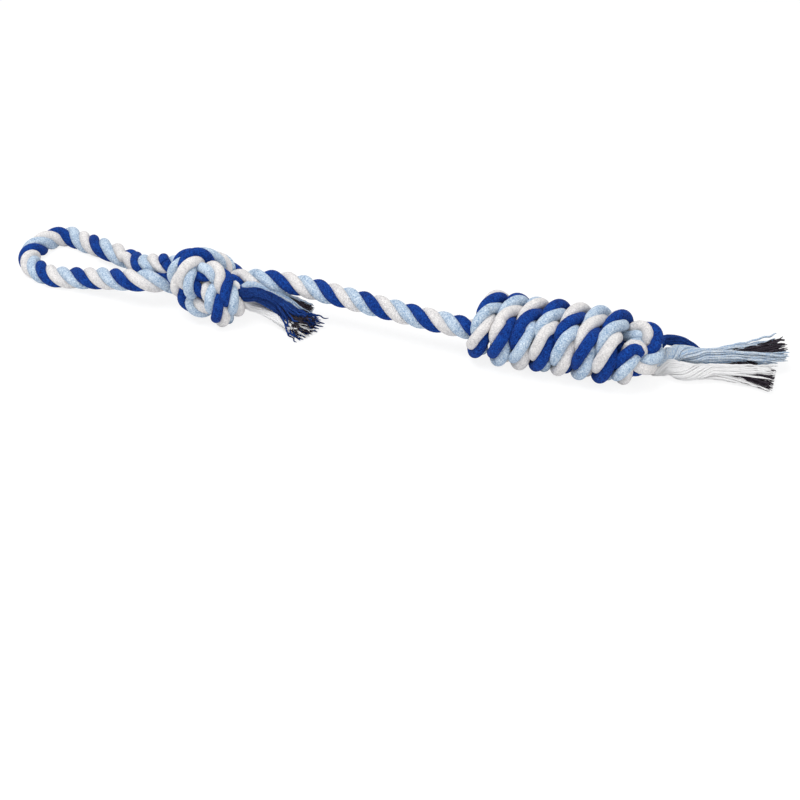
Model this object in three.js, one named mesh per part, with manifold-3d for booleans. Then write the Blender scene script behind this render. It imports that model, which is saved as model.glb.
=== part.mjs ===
// Rope tug toy for dogs: one length of three-strand cotton rope, tied and wound into a toy.
// From left to right along +X: a hand loop, an overhand knot tied in the doubled rope, with
// the rope's short frayed tail beside it, a straight run of rope, a barrel of close turns
// wound over two passes of the rope, a U turn that the last turn is tucked through, and a
// tassel, where the rope's three strands are opened out.
// Millimetres, +Z up. The toy lies on z = 0 with the middle of its outline over the origin.

import * as THREE from "three";
import { mergeVertices } from "three/addons/utils/BufferGeometryUtils.js";
import Module from "manifold-3d";

const wasm = await Module();
wasm.setup();

// Rope: free in the straight run, fuller where it lies slack in the hand loop, thinner where
// it is pulled tight in the barrel and in the knot
const ROPE_DIAMETER = 16;
const LOOP_ROPE_DIAMETER = 17;
const CORE_DIAMETER = 14.5;
const WOUND_DIAMETER = 13.6;
const BIGHT_DIAMETER = 12.4;
const KNOT_ROPE_DIAMETER = 12.2;

// Air between two stretches that touch, and between two faces where one piece goes on as
// the next
const CONTACT_GAP = 0.5;
const KNOT_GAP = 0.8;
const END_GAP = 0.3;

// What the floor presses flat under a stretch, as a share of its diameter
const FLOOR_FLAT = 0.1;

// Lengths along the toy
const LOOP_LENGTH = 143;
const LOOP_WIDTH = 56;
const MAIN_ROPE_LENGTH = 162;
const BARREL_TURNS = 7;
const TASSEL_LENGTH = 68;
const TAIL_LENGTH = 52;
const TASSEL_STRAND_DIAMETER = 11;
const TAIL_STRAND_DIAMETER = 7.6;
const CORE_YARN_LENGTH = 9;
const CORE_YARN_DIAMETER = 4.5;

// Where a strand starts in the rope's section, as far from its middle as the strands lie
const TASSEL_START = 3.9;
const TAIL_START = 3.1;

// Where the knot lies beside the barrel's axis, how it is turned about its own, and how far a
// turn of the barrel leans to the right for each millimetre that it rises
const KNOT_OFFSET = -4;
const KNOT_ROLL = THREE.MathUtils.degToRad(-15);
const TURN_LEAN = 0.1;

// Distance over which the rope's thickness changes at the knot and at the barrel, and a
// strand's share of the rope's diameter where the three lie together
const SWELL_LENGTH = 30;
const STRAND_SHARE = 0.43;

// Faces of the tubes
const ROPE_SIDES = 10;
const KNOT_SIDES = 8;
const TURN_SIDES = 6;
const STRAND_SIDES = 8;
const CORE_YARN_SIDES = 6;

// Steps of one turn of the barrel: its straight runs and its half circles
const STRAIGHT_STEPS = 3;
const ARC_STEPS = 9;
const STEPS_PER_TURN = 2 * (STRAIGHT_STEPS + ARC_STEPS);

// Steps along the other stretches, and the fine ones that distances are measured on
const LOOP_STEP = 7;
const MAIN_ROPE_STEP = 12;
const STRAND_STEP = 8;
const BEND_STEP = 5;
const FINE_STEP = 1.5;

// Cotton, felted, with no gloss
const ROUGHNESS = 0.95;
const METALNESS = 0;
const BLUE = "#1642a0";
const LIGHT_BLUE = "#b0cee8";
const WHITE = "#f0ecea";
const CORE_YARN = "#322a34";
const ROPE_BLEND = "#9db4d8";

// Centre distances of stretches that touch, and the height of the barrel's axis
const CORE_SPACING = CORE_DIAMETER + CONTACT_GAP;
const WOUND_SPACING = WOUND_DIAMETER + CONTACT_GAP;
const KNOT_SPACING = KNOT_ROPE_DIAMETER + KNOT_GAP;
const TURN_RADIUS = (CORE_DIAMETER + WOUND_DIAMETER) / 2 + CONTACT_GAP;
const TURN_EASE = 0.35;
const TURN_PITCH = WOUND_SPACING + TURN_EASE;
const BARREL_HEIGHT = WOUND_DIAMETER * (0.5 - FLOOR_FLAT) + TURN_RADIUS;

const at = (x, y, z) => new THREE.Vector3(x, y, z);

/** The same line again with equal steps of about the given length. */
function evenly(line, step) {
  const along = [0];
  for (let i = 1; i < line.length; i += 1) {
    along.push(along[i - 1] + line[i].distanceTo(line[i - 1]));
  }
  const total = along[along.length - 1];
  const count = Math.max(3, Math.round(total / step));
  const points = [];
  let from = 0;
  for (let i = 0; i <= count; i += 1) {
    const goal = (total * i) / count;
    while (from < line.length - 2 && along[from + 1] < goal) {
      from += 1;
    }
    const share = (goal - along[from]) / (along[from + 1] - along[from]);
    points.push(line[from].clone().lerp(line[from + 1], Math.min(1, share)));
  }
  return points;
}

/** A smooth line through a short list of points. */
function through(points, perStretch = 12) {
  const curve = new THREE.CatmullRomCurve3(points, false, "catmullrom", 0.5);
  return curve.getPoints(perStretch * (points.length - 1));
}

/** The same line with each inner point moved towards the middle of its neighbours. */
function relaxLine(line, share) {
  return line.map((point, i) => {
    if (i === 0 || i === line.length - 1) {
      return point;
    }
    const middle = line[i - 1].clone().add(line[i + 1]).multiplyScalar(0.5);
    return point.clone().lerp(middle, share);
  });
}

/** One push that moves points nearer than the spacing apart, on all lines at once. */
function pushApart(lines, spacing, step) {
  const ownReach = 1.5 * spacing;
  const mostPush = 1.3;
  const skip = Math.ceil(ownReach / step);
  const beads = lines.flatMap((line, owner) => line.map(
    (point, index) => ({ point, owner, index }),
  ));
  const moves = beads.map(() => at(0, 0, 0));
  const worst = beads.map(() => 0);
  const apart = new THREE.Vector3();
  for (let i = 0; i < beads.length; i += 1) {
    for (let j = i + 1; j < beads.length; j += 1) {
      if (beads[i].owner === beads[j].owner && beads[j].index - beads[i].index < skip) {
        continue;
      }
      apart.subVectors(beads[i].point, beads[j].point);
      const distance = apart.length();
      if (distance >= spacing) {
        continue;
      }
      const lack = (spacing - distance) / 2;
      apart.multiplyScalar(lack / distance);
      moves[i].add(apart);
      moves[j].sub(apart);
      worst[i] = Math.max(worst[i], lack);
      worst[j] = Math.max(worst[j], lack);
    }
  }
  // many neighbours at once move a point hardly further than the worst of them asks for
  beads.forEach((bead, i) => {
    bead.point.add(moves[i].clampLength(0, mostPush * worst[i]));
  });
}

/**
 * Pulls lines tight as ropes of diameter 1: a squeeze towards the middle, then smoothing and
 * pushing apart, again and again. Pinned lines keep their ends and are squeezed only where
 * the knot is, others shrink round their common middle.
 */
function tighten(lines, { cycles, rounds, share, squeeze, pinned }) {
  const step = 0.4;
  const coreEnd = 2.2;
  const coreFade = 1.4;
  let ropes = lines.map((line) => evenly(line, step));
  for (let cycle = 0; cycle < cycles; cycle += 1) {
    const middle = at(0, 0, 0);
    if (!pinned) {
      const all = ropes.flat();
      all.forEach((point) => middle.add(point));
      middle.divideScalar(all.length);
    }
    for (const point of ropes.flat()) {
      const reach = (coreEnd + coreFade - Math.abs(point.x)) / coreFade;
      const weight = pinned ? THREE.MathUtils.clamp(reach, 0, 1) : 1;
      const kept = squeeze.map((value) => 1 - weight * (1 - value));
      point.sub(middle).multiply(at(...kept)).add(middle);
    }
    for (let round = 0; round < rounds; round += 1) {
      const ends = ropes.map((rope) => [rope[0].clone(), rope[rope.length - 1].clone()]);
      ropes = ropes.map((rope) => relaxLine(rope, share));
      pushApart(ropes, 1, step);
      pushApart(ropes, 1, step);
      if (pinned) {
        ropes.forEach((rope, i) => {
          rope[0].copy(ends[i][0]);
          rope[rope.length - 1].copy(ends[i][1]);
        });
      }
    }
    ropes = ropes.map((rope) => evenly(rope, step));
  }
  return ropes;
}

/**
 * The handle knot: an overhand knot tied in two ropes side by side. Laid out open on paper,
 * its heights over and under at the crossings, then pulled tight. Lengths in rope diameters.
 * Gives the rope that goes on to the barrel and the one that ends in the tail, left to right.
 */
function makeKnot() {
  const over = 1.3;
  const middleLine = through([
    at(-9, 0, 0), at(-5, 0, 0), at(-2.4, 0, -over), at(0.4, 0, over), at(3, 0.8, 0),
    at(4, 3, -over), at(2.6, 5.6, 0), at(0, 6.4, 0), at(-2.6, 5, 0), at(-3.2, 2.6, 0.4),
    at(-2.4, 0, over), at(-1.6, -2.2, 0), at(0.2, -2.2, -0.6), at(0.6, 0, -over),
    at(1.6, 2.4, 0), at(4, 3.2, over), at(6.4, 2.6, 0), at(9, 1.5, 0), at(12, 0.5, 0),
  ]);
  const halfPair = 0.6;
  const pair = [halfPair, -halfPair].map((side) => middleLine.map((point, i) => {
    const before = middleLine[Math.max(0, i - 1)];
    const after = middleLine[Math.min(middleLine.length - 1, i + 1)];
    const across = at(before.y - after.y, after.x - before.x, 0).setLength(side);
    return point.clone().add(across);
  }));
  let ropes = tighten(pair, {
    cycles: 72, rounds: 8, share: 0.12, squeeze: [0.98, 0.98, 0.98], pinned: false,
  });

  // turned about the toy's axis to the side that lies uppermost, with straight leads to the
  // hand loop's two legs and to the main rope and the tail
  const middle = at(0, 0, 0);
  const all = ropes.flat();
  all.forEach((point) => middle.add(point));
  middle.divideScalar(all.length);
  all.forEach((point) => point.sub(middle).applyAxisAngle(at(1, 0, 0), KNOT_ROLL));
  const leadEnd = 5.5;
  const leadSteps = 11;
  const legs = [at(-leadEnd, -0.55, 0), at(-leadEnd, 0.55, 0)];
  const exits = [at(leadEnd, 0.45, 0.4), at(leadEnd, -0.45, -0.4)];
  ropes = ropes.map((rope, k) => {
    const lead = [...Array(leadSteps).keys()].map((i) => i / leadSteps);
    const first = lead.map((share) => legs[k].clone().lerp(rope[0], share));
    const last = lead.map((share) => exits[k].clone().lerp(rope[rope.length - 1], share));
    return [...first, ...rope, ...last.reverse()];
  });
  ropes = tighten(ropes, {
    cycles: 70, rounds: 8, share: 0.2, squeeze: [0.95, 0.98, 0.98], pinned: true,
  });
  ropes = tighten(ropes, {
    cycles: 30, rounds: 8, share: 0.1, squeeze: [0.985, 0.965, 0.955], pinned: true,
  });
  return tighten(ropes, {
    cycles: 2, rounds: 40, share: 0.02, squeeze: [1, 1, 1], pinned: true,
  });
}

/**
 * Lays a stretch of rope against others that stay where they are, each given as points and
 * the spacing that it keeps to them: it resists bending, is pushed off what is nearer than
 * that, and keeps two points at either end.
 */
function nestle(line, neighbours, step) {
  const cycles = 12;
  const rounds = 24;
  const stiffness = 0.5;
  let route = line;
  for (let cycle = 0; cycle <= cycles; cycle += 1) {
    route = [route[0], ...evenly(route.slice(1, -1), step), route.at(-1)];
    for (let round = 0; round < rounds; round += 1) {
      const bend = route.map((point, i) => {
        const before = route[Math.max(0, i - 1)];
        const after = route[Math.min(route.length - 1, i + 1)];
        return before.clone().add(after).multiplyScalar(0.5).sub(point);
      });
      for (let i = 2; i < route.length - 2; i += 1) {
        const change = bend[i - 1].clone().add(bend[i + 1]).multiplyScalar(0.5).sub(bend[i]);
        route[i].addScaledVector(change, cycle < cycles ? -stiffness : 0);
        for (const { points, spacing } of neighbours) {
          for (const other of points) {
            const distance = route[i].distanceTo(other);
            const lack = Math.max(0, spacing - distance);
            route[i].addScaledVector(route[i].clone().sub(other), lack / distance / 2);
          }
        }
      }
    }
  }
  return route;
}

/**
 * The barrel's turns: a left-handed winding round two passes side by side, up the near side.
 * It starts with the straight run over the first turn's top and ends with the one under the
 * last, where the tucked end takes over.
 */
function makeWinding() {
  const radius = TURN_RADIUS;
  const straight = CORE_SPACING;
  const half = straight / 2;
  const arc = Math.PI * radius;
  const perimeter = 2 * (straight + arc);
  const nearSide = (straight + arc / 2) / perimeter;
  const first = WOUND_SPACING / 2 - nearSide * TURN_PITCH;
  const { sin, cos } = Math;
  // the four runs of a turn: under, up the near side, over, down the far side
  const runs = [
    [straight, STRAIGHT_STEPS, (u) => [half - u, -radius]],
    [arc, ARC_STEPS, (u) => [-half - radius * sin(u / radius), -radius * cos(u / radius)]],
    [straight, STRAIGHT_STEPS, (u) => [u - half, radius]],
    [arc, ARC_STEPS, (u) => [half + radius * sin(u / radius), radius * cos(u / radius)]],
  ];
  const turns = [];
  let travelled = straight + arc;
  for (let run = 2; run <= 4 * BARREL_TURNS; run += 1) {
    const [length, steps, outline] = runs[run % runs.length];
    for (let i = 0; i < steps; i += 1) {
      const u = (length * i) / steps;
      const [y, z] = outline(u);
      const x = first + (TURN_PITCH * (travelled + u)) / perimeter + TURN_LEAN * z;
      turns.push(at(x, y, BARREL_HEIGHT + z));
    }
    travelled += length;
  }
  const end = first + (TURN_PITCH * travelled) / perimeter - TURN_LEAN * radius;
  turns.push(at(end, -half, BARREL_HEIGHT - radius));
  return turns;
}

const knot = makeKnot();
const winding = makeWinding();
const BARREL_LENGTH = WOUND_SPACING + BARREL_TURNS * TURN_PITCH;

// The knot in its place: cut where its ropes run side by side again, its underside pressed
// flat on the floor
const KNOT_REACH = 3 * KNOT_SPACING;
const knotX = -MAIN_ROPE_LENGTH - KNOT_REACH;
const knotLines = knot.map((rope) => rope.map(
  (point) => point.clone().multiplyScalar(KNOT_SPACING),
));
const knotLowest = Math.min(...knotLines.flat().map((point) => point.z));
const knotHeight = KNOT_ROPE_DIAMETER * (0.5 - FLOOR_FLAT) - knotLowest;
const [standing, tail] = knotLines.map((rope) => rope
  .filter((point) => Math.abs(point.x) <= KNOT_REACH)
  .map((point) => point.add(at(knotX, KNOT_OFFSET, knotHeight))));

/** The hand loop, from the tail's leg round the far end to the main rope's leg. */
function makeLoop(from, to) {
  const centre = from.clone().add(to).multiplyScalar(0.5);
  const low = LOOP_ROPE_DIAMETER * (0.5 - FLOOR_FLAT);
  const rise = centre.z - low;
  const reach = LOOP_LENGTH - LOOP_ROPE_DIAMETER / 2;
  const twist = (from.z - to.z) / 2;
  // shares of the loop's reach and width away from the knot, and of the rise and twist left
  const route = [
    [0.1, 0.14, 0.93, 0.5], [0.19, 0.2, 0.74, 0.1], [0.37, 0.5, 0.4, 0],
    [0.57, 0.76, 0.15, 0], [0.74, 0.93, 0, 0], [0.88, 1.02, 0, 0], [0.965, 0.9, 0, 0], [1, 0.6, 0, 0],
    [0.985, 0.34, 0, 0], [0.9, 0.1, 0, 0], [0.74, -0.04, 0, 0], [0.57, -0.05, 0.15, 0],
    [0.39, -0.08, 0.4, 0], [0.19, -0.15, 0.74, -0.1], [0.1, -0.14, 0.93, -0.5],
  ];
  const inner = route.map(([along, across, high, turned]) => at(
    centre.x - along * reach,
    centre.y + across * LOOP_WIDTH,
    low + high * rise + turned * twist,
  ));
  return evenly(through([from, ...inner, to]), LOOP_STEP);
}

/** The main rope, which leaves the knot level and falls to the barrel. */
function makeMainRope(from, to) {
  const shares = [[0.16, -0.02, -0.2], [0.45, 0.36, 0.28], [0.75, 0.76, 0.75]];
  const inner = shares.map(([x, y, z]) => at(
    THREE.MathUtils.lerp(from.x, to.x, x),
    THREE.MathUtils.lerp(from.y, to.y, y),
    THREE.MathUtils.lerp(from.z, to.z, z),
  ));
  return evenly(through([from, ...inner, to]), MAIN_ROPE_STEP);
}

/** A place in the barrel: millimetres along it, shares of its core's spacing off its axis. */
const inBarrel = (x, y, z) => at(x, y * CORE_SPACING, BARREL_HEIGHT + z * CORE_SPACING);
/** The same with the first share counted from the barrel's right end. */
const pastBarrel = (x, y, z) => inBarrel(BARREL_LENGTH + x * CORE_SPACING, y, z);
const fine = (line) => evenly(line, FINE_STEP);
const coreLeft = CORE_SPACING;
const coreRight = BARREL_LENGTH - CORE_SPACING;
const bendSpacing = TURN_RADIUS + CONTACT_GAP;
const tuckSpacing = (BIGHT_DIAMETER + WOUND_DIAMETER) / 2 + CONTACT_GAP;
const coreSpacing = (BIGHT_DIAMETER + CORE_DIAMETER) / 2 + CONTACT_GAP;

const mainRope = makeMainRope(standing[standing.length - 1], inBarrel(0, -0.5, 0));
const standingCore = evenly([inBarrel(0, -0.5, 0), inBarrel(coreRight, -0.5, 0)], CORE_SPACING);
const bight = evenly(through([
  inBarrel(coreRight, -0.5, 0), pastBarrel(-0.6, -0.55, -0.05), pastBarrel(-0.15, -0.86, -0.2),
  pastBarrel(0.35, -0.92, -0.3), pastBarrel(0.78, -0.62, -0.2), pastBarrel(0.95, 0, 0),
  pastBarrel(0.78, 0.62, 0.2), pastBarrel(0.35, 0.92, 0.3), pastBarrel(-0.1, 0.82, 0.2),
  pastBarrel(-0.6, 0.55, 0.05), inBarrel(coreRight, 0.5, 0),
]), BEND_STEP);
const returnCore = evenly([inBarrel(coreRight, 0.5, 0), inBarrel(coreLeft, 0.5, 0)], CORE_SPACING);

// Out of the core's left end, down and round the near side and over the first turn's top
const bendAround = [
  ...winding.slice(3, 2 * STEPS_PER_TURN), ...fine(mainRope), ...fine(standingCore),
];
const leftBend = nestle([
  ...evenly(through([
    inBarrel(coreLeft, 0.5, 0), inBarrel(0.75 * CORE_SPACING, 0.5, 0),
    inBarrel(0.35 * CORE_SPACING, 0.42, -0.45), inBarrel(0, 0.15, -0.85),
    inBarrel(-0.1 * CORE_SPACING, -0.3, -1), inBarrel(0.05 * CORE_SPACING, -0.95, -0.95),
    inBarrel(0.4 * CORE_SPACING, -1.45, -0.4), inBarrel(0.55 * CORE_SPACING, -1.45, 0.35),
    inBarrel(0.62 * CORE_SPACING, -1.1, 0.82), winding[0].clone(),
  ]), BEND_STEP),
  winding[1].clone(),
], [{ points: bendAround, spacing: bendSpacing }], BEND_STEP);
leftBend.pop();

// Up the near side as one turn more, over and down through the U turn
const tuck = nestle([
  winding.at(-2).clone(),
  ...evenly(through([
    winding.at(-1).clone(), pastBarrel(-0.55, -1.35, -0.6), pastBarrel(-0.5, -1.6, 0),
    pastBarrel(-0.4, -1.35, 0.75), pastBarrel(-0.25, -0.75, 1.2), pastBarrel(0, -0.2, 0.95),
    pastBarrel(0.1, 0, 0.1), pastBarrel(0.35, 0.1, -0.75), pastBarrel(0.75, 0.5, -0.98),
    pastBarrel(1.28, 1.12, -0.98),
  ]), BEND_STEP),
], [
  { points: winding.slice(0, -3), spacing: tuckSpacing },
  { points: fine(bight), spacing: BIGHT_DIAMETER + CONTACT_GAP },
  { points: fine(returnCore), spacing: coreSpacing },
], BEND_STEP);
tuck.shift();

// The whole rope, stretch by stretch, from the tail's end of the knot to the tassel, each
// with its sides and its diameter, which goes over from that of the one before and to that
// of the one after
const loop = makeLoop(tail[0], standing[0]);
const stretches = [
  ["handle_knot_tail", [...tail].reverse(), KNOT_SIDES, KNOT_ROPE_DIAMETER],
  ["handle_loop", loop, ROPE_SIDES, LOOP_ROPE_DIAMETER],
  ["handle_knot_standing", standing, KNOT_SIDES, KNOT_ROPE_DIAMETER],
  ["main_rope", mainRope, ROPE_SIDES, ROPE_DIAMETER],
  ["barrel_core_standing", standingCore, ROPE_SIDES, CORE_DIAMETER],
  ["end_bight", bight, ROPE_SIDES, BIGHT_DIAMETER],
  ["barrel_core_return", [...returnCore, ...leftBend.slice(1)], ROPE_SIDES, CORE_DIAMETER],
  ["barrel_winding", winding, TURN_SIDES, WOUND_DIAMETER],
  ["end_tuck", tuck, ROPE_SIDES, BIGHT_DIAMETER],
].map(([name, line, sides, diameter]) => ({ name, line, sides, diameter }));

/**
 * A closed tube along a line, its section a polygon and its end faces square to the line, or
 * to the directions that are given, which it shares with the pieces that go on from it.
 */
function tube(line, diameters, sides, firstDirection, lastDirection) {
  const directions = line.map((point, i) => {
    const before = line[Math.max(0, i - 1)];
    const after = line[Math.min(line.length - 1, i + 1)];
    return after.clone().sub(before).normalize();
  });
  directions[0] = firstDirection ?? directions[0];
  directions[line.length - 1] = lastDirection ?? directions[line.length - 1];
  const positions = [];
  const faces = [];
  const across = at(0, 0, 1).cross(directions[0]).normalize();
  line.forEach((point, ring) => {
    const direction = directions[ring];
    across.addScaledVector(direction, -across.dot(direction)).normalize();
    const up = direction.clone().cross(across);
    for (let side = 0; side < sides; side += 1) {
      const angle = (2 * Math.PI * side) / sides;
      const corner = point.clone()
        .addScaledVector(across, (Math.cos(angle) * diameters[ring]) / 2)
        .addScaledVector(up, (Math.sin(angle) * diameters[ring]) / 2);
      positions.push(...corner.toArray());
      const next = (side + 1) % sides;
      if (ring > 0) {
        const a = ring * sides;
        faces.push(a - sides + side, a - sides + next, a + next);
        faces.push(a - sides + side, a + next, a + side);
      }
    }
  });
  const last = (line.length - 1) * sides;
  for (let side = 1; side < sides - 1; side += 1) {
    faces.push(0, side + 1, side);
    faces.push(last, last + side, last + side + 1);
  }
  const geometry = new THREE.BufferGeometry();
  geometry.setAttribute("position", new THREE.Float32BufferAttribute(positions, 3));
  geometry.setIndex(faces);
  return geometry;
}

/** A closed geometry as a solid that can be cut. */
function asSolid(geometry) {
  const bare = geometry.clone();
  bare.deleteAttribute("normal");
  bare.deleteAttribute("uv");
  const merged = mergeVertices(bare);
  return new wasm.Manifold(new wasm.Mesh({
    numProp: 3,
    vertProperties: new Float32Array(merged.attributes.position.array),
    triVerts: new Uint32Array(merged.index.array),
  }));
}

/** What a geometry has above the floor. */
function flattenBelow(geometry) {
  geometry.computeBoundingBox();
  if (geometry.boundingBox.min.z >= 0) {
    return geometry;
  }
  const length = 1000;
  const floor = new THREE.BoxGeometry(length, length, length);
  floor.translate(0, 0, -length / 2);
  const rest = asSolid(geometry).subtract(asSolid(floor)).getMesh();
  const flat = new THREE.BufferGeometry();
  flat.setAttribute("position", new THREE.Float32BufferAttribute(rest.vertProperties, 3));
  flat.setIndex(Array.from(rest.triVerts));
  return flat;
}

const toy = new THREE.Group();

function addPiece(name, geometry, colour) {
  const material = new THREE.MeshStandardMaterial({
    color: colour,
    roughness: ROUGHNESS,
    metalness: METALNESS,
  });
  const piece = new THREE.Mesh(flattenBelow(geometry), material);
  piece.geometry.computeVertexNormals();
  piece.name = name;
  toy.add(piece);
}

stretches.forEach(({ name, line, sides, diameter }, i) => {
  const before = stretches[i - 1];
  const after = stretches[i + 1];
  const length = line.slice(1).reduce((sum, point, k) => sum + point.distanceTo(line[k]), 0);
  const thinner = (other) => Math.min(diameter, other ? other.diameter : diameter);
  let along = 0;
  const diameters = line.map((point, k) => {
    along += k > 0 ? point.distanceTo(line[k - 1]) : 0;
    const fromFirst = THREE.MathUtils.smoothstep(along, 0, SWELL_LENGTH);
    const fromLast = THREE.MathUtils.smoothstep(length - along, 0, SWELL_LENGTH);
    const firstLoss = (diameter - thinner(before)) * (1 - fromFirst);
    const lastLoss = (diameter - thinner(after)) * (1 - fromLast);
    return diameter - firstLoss - lastLoss;
  });
  // the faces that two pieces share are square to one direction, with a gap between them
  const joint = (one, other) => other.clone().sub(one).normalize();
  const firstDirection = joint(before ? before.line.at(-2) : line[0], line[1]);
  const lastDirection = joint(line.at(-2), after ? after.line[1] : line.at(-1));
  const drawnIn = [
    line[0].clone().addScaledVector(firstDirection, END_GAP / 2),
    ...line.slice(1, -1),
    line.at(-1).clone().addScaledVector(lastDirection, -END_GAP / 2),
  ];
  addPiece(name, tube(drawnIn, diameters, sides, firstDirection, lastDirection), ROPE_BLEND);
});

/**
 * Three strands that come apart at a rope's end, and the dark core yarns at their tips. A
 * strand starts in the rope's section, across and above its middle, and then takes its route,
 * given from the rope's end as shares of the tassel's or tail's length along and across the
 * toy, and of the strand's diameter above the floor. It swells from the strand in the laid
 * rope to its own full size in half its length.
 */
function addStrands(end, direction, { prefix, length, thin, thick, strands }) {
  const across = at(0, 0, 1).cross(direction).normalize();
  const up = direction.clone().cross(across);
  for (const { name, colour, start, route } of strands) {
    const first = end.clone().addScaledVector(direction, END_GAP)
      .addScaledVector(across, start[0]).addScaledVector(up, start[1]);
    const places = route.map(
      ([x, y, z]) => at(end.x + x * length, end.y + y * length, z * thick),
    );
    const line = evenly(through([first, ...places]), STRAND_STEP);
    const swell = line.map((point, i) => Math.min(1, (2 * i) / line.length));
    const diameters = swell.map((share) => THREE.MathUtils.lerp(thin, thick, share));
    addPiece(`${prefix}_${name}`, tube(line, diameters, STRAND_SIDES, direction), colour);
    const tip = line.at(-1);
    const out = tip.clone().sub(line.at(-2)).normalize();
    const core = [0, 1, 2, 3].map((i) => tip.clone()
      .addScaledVector(out, END_GAP + (CORE_YARN_LENGTH * i) / 3));
    const yarn = [1, 1, 0.8, 0.5].map((share) => share * CORE_YARN_DIAMETER);
    addPiece(`${prefix}_${name}_core`, tube(core, yarn, CORE_YARN_SIDES, out), CORE_YARN);
  }
}

/** Least distance between two lines' points, in one line apart from near neighbours. */
function leastDistance(line, other, apart) {
  let least = Infinity;
  line.forEach((point, i) => other.forEach((second, j) => {
    if (line !== other || Math.abs(i - j) >= apart) {
      least = Math.min(least, point.distanceTo(second));
    }
  }));
  return least;
}

const endDirection = (line) => line.at(-1).clone().sub(line.at(-2)).normalize();

// What lies on the floor, pressed flat there, has its middle this share of its diameter up
const low = 0.5 - FLOOR_FLAT;

// The tassel: blue arches up and then lies on the floor with light blue over it, and white
// lies in front
addStrands(tuck.at(-1), endDirection(tuck), {
  prefix: "tassel",
  length: TASSEL_LENGTH,
  thin: BIGHT_DIAMETER * STRAND_SHARE,
  thick: TASSEL_STRAND_DIAMETER,
  strands: [
    {
      name: "blue",
      colour: BLUE,
      start: [0, TASSEL_START],
      route: [[0.1, 0.2, 1.14], [0.25, 0.32, 0.82], [0.42, 0.3, 0.5], [0.7, 0.28, low], [0.97, 0.3, low]],
    },
    {
      name: "light_blue",
      colour: LIGHT_BLUE,
      start: [TASSEL_START * 0.87, -TASSEL_START / 2],
      route: [
        [0.16, 0.08, 0.5], [0.34, 0.11, 1], [0.52, 0.16, 1.42], [0.75, 0.24, 1.48],
        [0.98, 0.3, 1.46],
      ],
    },
    {
      name: "white",
      colour: WHITE,
      start: [-TASSEL_START * 0.87, -TASSEL_START / 2],
      route: [
        [0.2, -0.09, low], [0.36, -0.06, low], [0.53, 0.01, low], [0.73, 0.04, low],
        [0.98, 0.05, low],
      ],
    },
  ],
});

// The frayed tail, in front of the main rope and falling to the floor, its light blue strand
// lying in under the main rope
addStrands(tail.at(-1), endDirection(tail), {
  prefix: "tail",
  length: TAIL_LENGTH,
  thin: KNOT_ROPE_DIAMETER * STRAND_SHARE,
  thick: TAIL_STRAND_DIAMETER,
  strands: [
    {
      name: "blue",
      colour: BLUE,
      start: [-TAIL_START * 0.71, TAIL_START * 0.71],
      route: [[0.2, 0.05, 2.5], [0.46, 0.08, 1.9], [0.66, 0, 1.12], [0.84, -0.1, low]],
    },
    {
      name: "light_blue",
      colour: LIGHT_BLUE,
      start: [TAIL_START, 0],
      route: [[0.19, 0.25, 2.04], [0.4, 0.39, 1.51], [0.65, 0.43, 1.18], [0.84, 0.46, 0.79]],
    },
    {
      name: "white",
      colour: WHITE,
      start: [-TAIL_START * 0.26, -TAIL_START * 0.97],
      route: [[0.15, 0, 1.32], [0.3, 0.07, 0.72], [0.56, -0.13, low], [0.72, -0.3, low]],
    },
  ],
});

// The least gap of each wound stretch to itself, and of the two ropes in the knot
const lineOf = Object.fromEntries(stretches.map(({ name, line }) => [name, line]));
const report = (what, one, other, apart, diameter) => {
  console.log(`${what}: least gap ${(leastDistance(one, other, apart) - diameter).toFixed(2)} mm`);
};
const ownNeighbours = 1.6 * KNOT_ROPE_DIAMETER;
const alongOwn = (line) => Math.ceil(ownNeighbours / line[0].distanceTo(line[1]));
for (const name of ["handle_knot_standing", "handle_knot_tail"]) {
  report(name, lineOf[name], lineOf[name], alongOwn(lineOf[name]), KNOT_ROPE_DIAMETER);
}
report("the knot's two ropes", standing, tail, 0, KNOT_ROPE_DIAMETER);
report("barrel_winding", winding, winding, STEPS_PER_TURN / 2, WOUND_DIAMETER);
const endDiameter = (WOUND_DIAMETER + BIGHT_DIAMETER) / 2;
const woundTurns = fine(winding.slice(0, -3));
const bendTurns = fine(winding.slice(3));
report("end_tuck and end_bight", fine(tuck), fine(bight), 0, BIGHT_DIAMETER);
report("end_tuck and barrel_winding", fine(tuck.slice(2)), woundTurns, 0, endDiameter);
report("end_bight and barrel_winding", fine(bight), fine(winding), 0, endDiameter);
report("left bend and barrel_winding", fine(leftBend.slice(0, -3)), bendTurns, 0, WOUND_DIAMETER);

const outline = new THREE.Box3().setFromObject(toy);
toy.position.set(-(outline.min.x + outline.max.x) / 2, -(outline.min.y + outline.max.y) / 2, 0);
toy.updateMatrixWorld(true);
export default toy;
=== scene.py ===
"""Rope tug toy: the looks of one length of three-strand cotton rope, tied and wound into a toy.

The rope is followed from its short frayed tail through the knot, the hand loop, the knot
again, the straight run and the barrel to the tassel. Its three dyed strands are laid round
that one line, and its two ends are opened into yarns. Lengths are millimetres until a mesh
is made, and metres in it, with +Z up.
"""

import logging
import math
from dataclasses import dataclass, field
from enum import Enum
from functools import partial
from typing import Optional, Sequence, Union

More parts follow.
